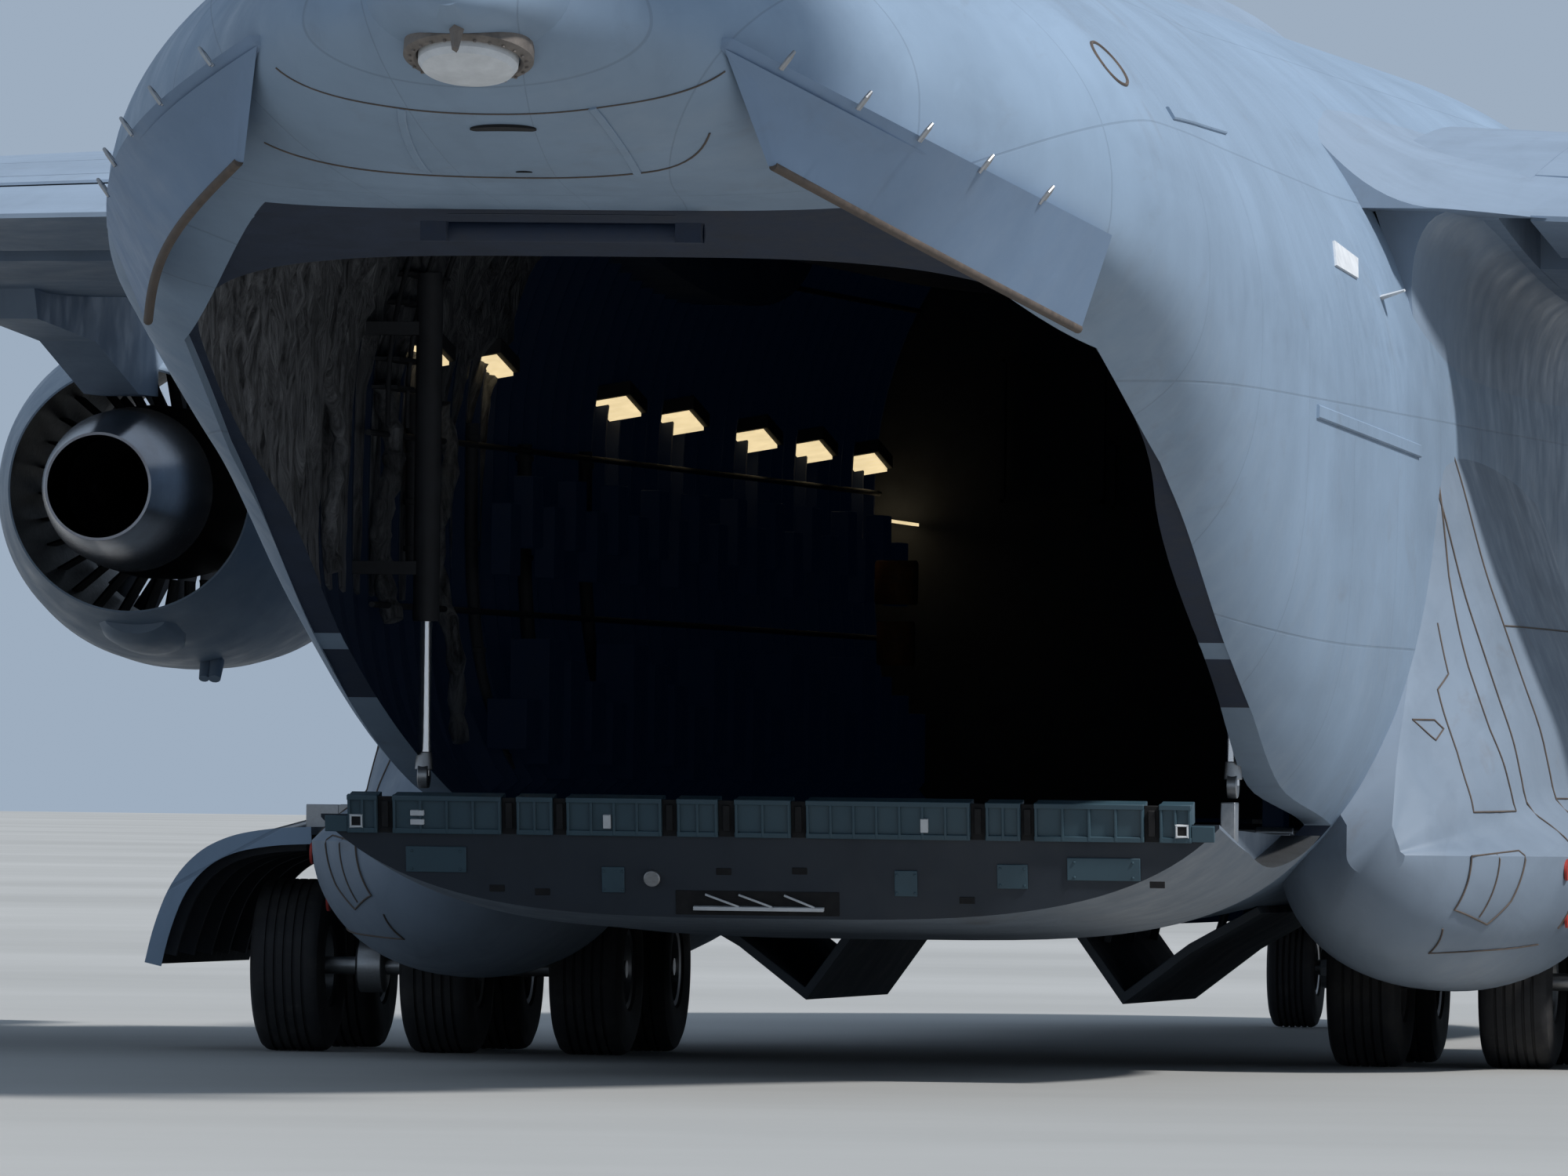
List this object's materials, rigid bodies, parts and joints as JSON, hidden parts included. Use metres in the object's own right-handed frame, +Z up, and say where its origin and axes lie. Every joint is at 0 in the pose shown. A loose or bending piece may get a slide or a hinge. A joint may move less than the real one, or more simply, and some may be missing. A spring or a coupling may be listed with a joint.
{
  "type": "four-engine military transport plane, half-size scale model",
  "caption": "High-wing T-tail transport plane on its gear, rear ramp level, cargo door raised, hollow hold, hinged flaps, spoilers, rudders and elevators, spinning fans.",
  "frame": {"origin": "on the ground, under the middle of the plane's length and span", "axes": "+X to port, +Y aft, +Z up; the nose points along -Y"},
  "size_m": [25.9012, 26.52, 8.395],
  "materials": {
    "skin_paint": "matte",
    "nacelle_paint": "matte",
    "tail_paint": "matte",
    "control_paint": "matte",
    "ramp_paint": "matte",
    "glass": "gloss",
    "tyre": "matte",
    "steel": "satin",
    "engine_metal": "satin",
    "fan_blades": "satin",
    "floor_metal": "satin",
    "deck": "matte"
  },
  "bodies": {
    "airframe": {"fuselage_nose": "skin_paint", "fuselage_forward": "skin_paint", "fuselage_centre": "skin_paint", "fuselage_aft": "skin_paint", "flight_deck": "deck", "cargo_floor": "floor_metal", "windscreen": "glass", "wing_centre": "skin_paint", "wing_port": "skin_paint", "wing_starboard": "skin_paint", "nacelle_inner_port": "nacelle_paint", "engine_core_inner_port": "engine_metal", "nacelle_inner_starboard": "nacelle_paint", "engine_core_inner_starboard": "engine_metal", "nacelle_outer_port": "nacelle_paint", "engine_core_outer_port": "engine_metal", "nacelle_outer_starboard": "nacelle_paint", "engine_core_outer_starboard": "engine_metal", "fin": "tail_paint", "tailplane": "tail_paint", "sponson_port": "skin_paint", "sponson_starboard": "skin_paint", "main_gear_door_port": "skin_paint", "main_gear_door_starboard": "skin_paint", "main_leg_port": "steel", "main_leg_starboard": "steel", "nose_leg": "steel"},
    "flap_inner_port": {"flap_inner_port": "control_paint"},
    "flap_inner_starboard": {"flap_inner_starboard": "control_paint"},
    "flap_outer_port": {"flap_outer_port": "control_paint"},
    "flap_outer_starboard": {"flap_outer_starboard": "control_paint"},
    "aileron_port": {"aileron_port": "control_paint"},
    "aileron_starboard": {"aileron_starboard": "control_paint"},
    "spoiler_inner_port": {"spoiler_inner_port": "control_paint"},
    "spoiler_inner_starboard": {"spoiler_inner_starboard": "control_paint"},
    "spoiler_outer_port": {"spoiler_outer_port": "control_paint"},
    "spoiler_outer_starboard": {"spoiler_outer_starboard": "control_paint"},
    "rudder_lower": {"rudder_lower": "control_paint"},
    "rudder_upper": {"rudder_upper": "control_paint"},
    "elevator_port": {"elevator_port": "control_paint"},
    "elevator_starboard": {"elevator_starboard": "control_paint"},
    "fan_inner_port": {"fan_inner_port": "fan_blades"},
    "fan_inner_starboard": {"fan_inner_starboard": "fan_blades"},
    "fan_outer_port": {"fan_outer_port": "fan_blades"},
    "fan_outer_starboard": {"fan_outer_starboard": "fan_blades"},
    "main_wheels_front_port": {"main_wheels_front_port": "tyre"},
    "main_wheels_front_starboard": {"main_wheels_front_starboard": "tyre"},
    "main_wheels_rear_port": {"main_wheels_rear_port": "tyre"},
    "main_wheels_rear_starboard": {"main_wheels_rear_starboard": "tyre"},
    "nose_fork": {"nose_fork": "steel"},
    "nose_wheels": {"nose_wheels": "tyre"},
    "ramp": {"ramp": "ramp_paint"},
    "cargo_door": {"cargo_door": "skin_paint"},
    "crew_door": {"crew_door": "skin_paint"},
    "ramp_rod_port": {"ramp_rod_port": "steel"},
    "ramp_rod_starboard": {"ramp_rod_starboard": "steel"}
  },
  "joints": [
    {"name": "flap_inner_port_hinge", "type": "hinge", "parent": "airframe", "child": "flap_inner_port", "pos_m": [1.9925, -0.67387, 2.4245], "axis": [-0.9794, -0.1995, 0.0322], "range_deg": [0, 40]},
    {"name": "flap_inner_starboard_hinge", "type": "hinge", "parent": "airframe", "child": "flap_inner_starboard", "pos_m": [-1.9925, -0.67387, 2.4245], "axis": [-0.9794, 0.1995, -0.0322], "range_deg": [0, 40]},
    {"name": "flap_outer_port_hinge", "type": "hinge", "parent": "airframe", "child": "flap_outer_port", "pos_m": [4.715, -0.11401, 2.33488], "axis": [-0.9616, -0.2726, 0.0327], "range_deg": [0, 40]},
    {"name": "flap_outer_starboard_hinge", "type": "hinge", "parent": "airframe", "child": "flap_outer_starboard", "pos_m": [-4.715, -0.11401, 2.33488], "axis": [-0.9616, 0.2726, -0.0327], "range_deg": [0, 40]},
    {"name": "aileron_port_hinge", "type": "hinge", "parent": "airframe", "child": "aileron_port", "pos_m": [8.83, 1.10448, 2.76916], "axis": [-0.9608, -0.2751, 0.0343], "range_deg": [-25, 25]},
    {"name": "aileron_starboard_hinge", "type": "hinge", "parent": "airframe", "child": "aileron_starboard", "pos_m": [-8.83, 1.10448, 2.76916], "axis": [-0.9608, 0.2751, -0.0343], "range_deg": [-25, 25]},
    {"name": "spoiler_inner_port_hinge", "type": "hinge", "parent": "airframe", "child": "spoiler_inner_port", "pos_m": [2.15, -1.47522, 3.25276], "axis": [0.9619, 0.2668, -0.0591], "range_deg": [0, 55]},
    {"name": "spoiler_inner_starboard_hinge", "type": "hinge", "parent": "airframe", "child": "spoiler_inner_starboard", "pos_m": [-2.15, -1.47522, 3.25276], "axis": [0.9619, -0.2668, 0.0591], "range_deg": [0, 55]},
    {"name": "spoiler_outer_port_hinge", "type": "hinge", "parent": "airframe", "child": "spoiler_outer_port", "pos_m": [4.725, -0.75647, 3.09514], "axis": [0.9463, 0.3192, -0.0508], "range_deg": [0, 55]},
    {"name": "spoiler_outer_starboard_hinge", "type": "hinge", "parent": "airframe", "child": "spoiler_outer_starboard", "pos_m": [-4.725, -0.75647, 3.09514], "axis": [0.9463, -0.3192, 0.0508], "range_deg": [0, 55]},
    {"name": "rudder_lower_hinge", "type": "hinge", "parent": "airframe", "child": "rudder_lower", "pos_m": [0, 9.30339, 3.975], "axis": [0, 0.4439, 0.8961], "range_deg": [-25, 25]},
    {"name": "rudder_upper_hinge", "type": "hinge", "parent": "airframe", "child": "rudder_upper", "pos_m": [0, 10.24713, 5.88], "axis": [0, 0.4439, 0.8961], "range_deg": [-25, 25]},
    {"name": "elevator_port_hinge", "type": "hinge", "parent": "airframe", "child": "elevator_port", "pos_m": [0.475, 11.85142, 8.06506], "axis": [-0.9705, -0.2358, 0.0509], "range_deg": [-25, 15]},
    {"name": "elevator_starboard_hinge", "type": "hinge", "parent": "airframe", "child": "elevator_starboard", "pos_m": [-0.475, 11.85142, 8.06506], "axis": [-0.9705, 0.2358, -0.0509], "range_deg": [-25, 15]},
    {"name": "fan_inner_port_spin", "type": "hinge", "parent": "airframe", "child": "fan_inner_port", "pos_m": [3.8, -5.645, 2.045], "axis": [0, 1, 0], "continuous": true},
    {"name": "fan_inner_starboard_spin", "type": "hinge", "parent": "airframe", "child": "fan_inner_starboard", "pos_m": [-3.8, -5.645, 2.045], "axis": [0, 1, 0], "continuous": true},
    {"name": "fan_outer_port_spin", "type": "hinge", "parent": "airframe", "child": "fan_outer_port", "pos_m": [6.95, -4.045, 1.895], "axis": [0, 1, 0], "continuous": true},
    {"name": "fan_outer_starboard_spin", "type": "hinge", "parent": "airframe", "child": "fan_outer_starboard", "pos_m": [-6.95, -4.045, 1.895], "axis": [0, 1, 0], "continuous": true},
    {"name": "main_wheels_front_port_spin", "type": "hinge", "parent": "airframe", "child": "main_wheels_front_port", "pos_m": [1.915, -1.2, 0.305], "axis": [1, 0, 0], "continuous": true},
    {"name": "main_wheels_front_starboard_spin", "type": "hinge", "parent": "airframe", "child": "main_wheels_front_starboard", "pos_m": [-1.915, -1.2, 0.305], "axis": [1, 0, 0], "continuous": true},
    {"name": "main_wheels_rear_port_spin", "type": "hinge", "parent": "airframe", "child": "main_wheels_rear_port", "pos_m": [1.915, -0.1, 0.305], "axis": [1, 0, 0], "continuous": true},
    {"name": "main_wheels_rear_starboard_spin", "type": "hinge", "parent": "airframe", "child": "main_wheels_rear_starboard", "pos_m": [-1.915, -0.1, 0.305], "axis": [1, 0, 0], "continuous": true},
    {"name": "nose_steering", "type": "hinge", "parent": "airframe", "child": "nose_fork", "pos_m": [0, -10.66, 0.619], "axis": [0, 0, 1], "range_deg": [-65, 65]},
    {"name": "nose_wheels_spin", "type": "hinge", "parent": "nose_fork", "child": "nose_wheels", "pos_m": [0, -10.66, 0.245], "axis": [1, 0, 0], "continuous": true},
    {"name": "ramp_hinge", "type": "hinge", "parent": "airframe", "child": "ramp", "pos_m": [0, 1.97, 0.82], "axis": [1, 0, 0], "range_deg": [-9.5, 10.2]},
    {"name": "cargo_door_hinge", "type": "hinge", "parent": "airframe", "child": "cargo_door", "pos_m": [0, 9.38, 2.63], "axis": [1, 0, 0], "range_deg": [0, 21.5]},
    {"name": "crew_door_hinge", "type": "hinge", "parent": "airframe", "child": "crew_door", "pos_m": [1.42963, -9.81, 0.945], "axis": [0.1239, 0.9923, 0], "range_deg": [0, 115]},
    {"name": "ramp_rod_port_slide", "type": "slide", "parent": "airframe", "child": "ramp_rod_port", "axis": [0, 0, 1], "range_m": [-0.3, 0.33]},
    {"name": "ramp_rod_starboard_slide", "type": "slide", "parent": "airframe", "child": "ramp_rod_starboard", "axis": [0, 0, 1], "range_m": [-0.3, 0.33]}
  ],
  "couplings": [
    {"joint": "ramp_rod_port_slide", "follows": "ramp_hinge", "m_per_rad": 1.77},
    {"joint": "ramp_rod_starboard_slide", "follows": "ramp_hinge", "m_per_rad": 1.77}
  ]
}
